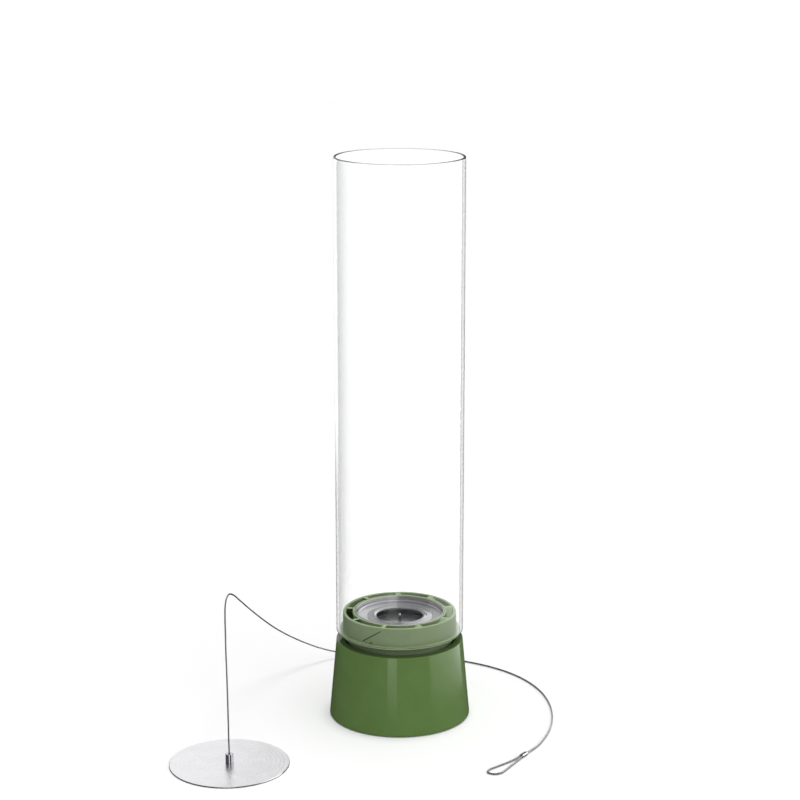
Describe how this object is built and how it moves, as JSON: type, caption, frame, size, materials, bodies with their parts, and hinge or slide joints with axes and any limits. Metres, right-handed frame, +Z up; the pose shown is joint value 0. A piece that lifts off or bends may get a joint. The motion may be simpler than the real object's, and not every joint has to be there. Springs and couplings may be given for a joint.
{
  "type": "tabletop vortex fire",
  "caption": "Tabletop ethanol vortex fire: conical base, burner can with reducer ring, cast swirl-vane ring, tall clear glass chimney, and a snuffer disc on a wire rope.",
  "frame": {"origin": "centre of the base's underside, on the face of the foot pad", "axes": "+Z up along the fire's axis; -Y towards the front, where the snuffer and the rope's hand loop lie; the snuffer disc is on the -X side"},
  "size_m": [0.3543, 0.3365, 0.5334],
  "materials": {
    "green_paint": "semi-gloss green powder coat",
    "sage_paint": "satin sage green powder coat",
    "clear_glass": "clear, polished rims",
    "can_steel": "drawn stainless, bright rim",
    "spun_steel": "spun stainless with fine concentric lines",
    "mesh_steel": "woven wire, heat-dulled",
    "stem_steel": "polished",
    "fuel_wool": "felted mineral wool",
    "disc_steel": "pale satin with fine concentric ridges",
    "ferrule_chrome": "polished",
    "rope_steel": "twisted steel wire",
    "crimp_steel": "pressed steel sleeve",
    "zinc_steel": "zinc plated",
    "felt": "dark felt"
  },
  "bodies": {
    "base": {"base_shell": "green_paint", "base_plate": "zinc_steel", "foot_pad": "felt", "base_screw_1": "zinc_steel", "base_screw_2": "zinc_steel", "base_screw_3": "zinc_steel", "base_screw_4": "zinc_steel"},
    "swirl_ring": {"swirl_ring": "sage_paint"},
    "glass": {"glass_tube": "clear_glass"},
    "burner": {"burner_can": "can_steel", "wool_pad": "fuel_wool", "mesh_disc": "mesh_steel", "stem": "stem_steel", "stem_nut": "zinc_steel", "stem_ball": "stem_steel"},
    "reducer": {"reducer_ring": "spun_steel"},
    "snuffer": {"snuffer_disc": "disc_steel", "rope_ferrule": "ferrule_chrome", "disc_screw": "zinc_steel", "wire_rope": "rope_steel", "rope_loop": "rope_steel", "loop_crimp": "crimp_steel"}
  },
  "joints": [
    {"name": "ring_lift", "type": "slide", "parent": "base", "child": "swirl_ring", "axis": [0, 0, 1], "range_m": [0, 0.06]},
    {"name": "glass_lift", "type": "slide", "parent": "swirl_ring", "child": "glass", "axis": [0, 0, 1], "range_m": [0, 0.08]},
    {"name": "burner_lift", "type": "slide", "parent": "base", "child": "burner", "axis": [0, 0, 1], "range_m": [0, 0.11]},
    {"name": "reducer_lift", "type": "slide", "parent": "burner", "child": "reducer", "axis": [0, 0, 1], "range_m": [0, 0.05]},
    {"name": "snuffer_lift", "type": "slide", "parent": "base", "child": "snuffer", "axis": [0, 0, 1], "range_m": [0, 0.15]}
  ]
}
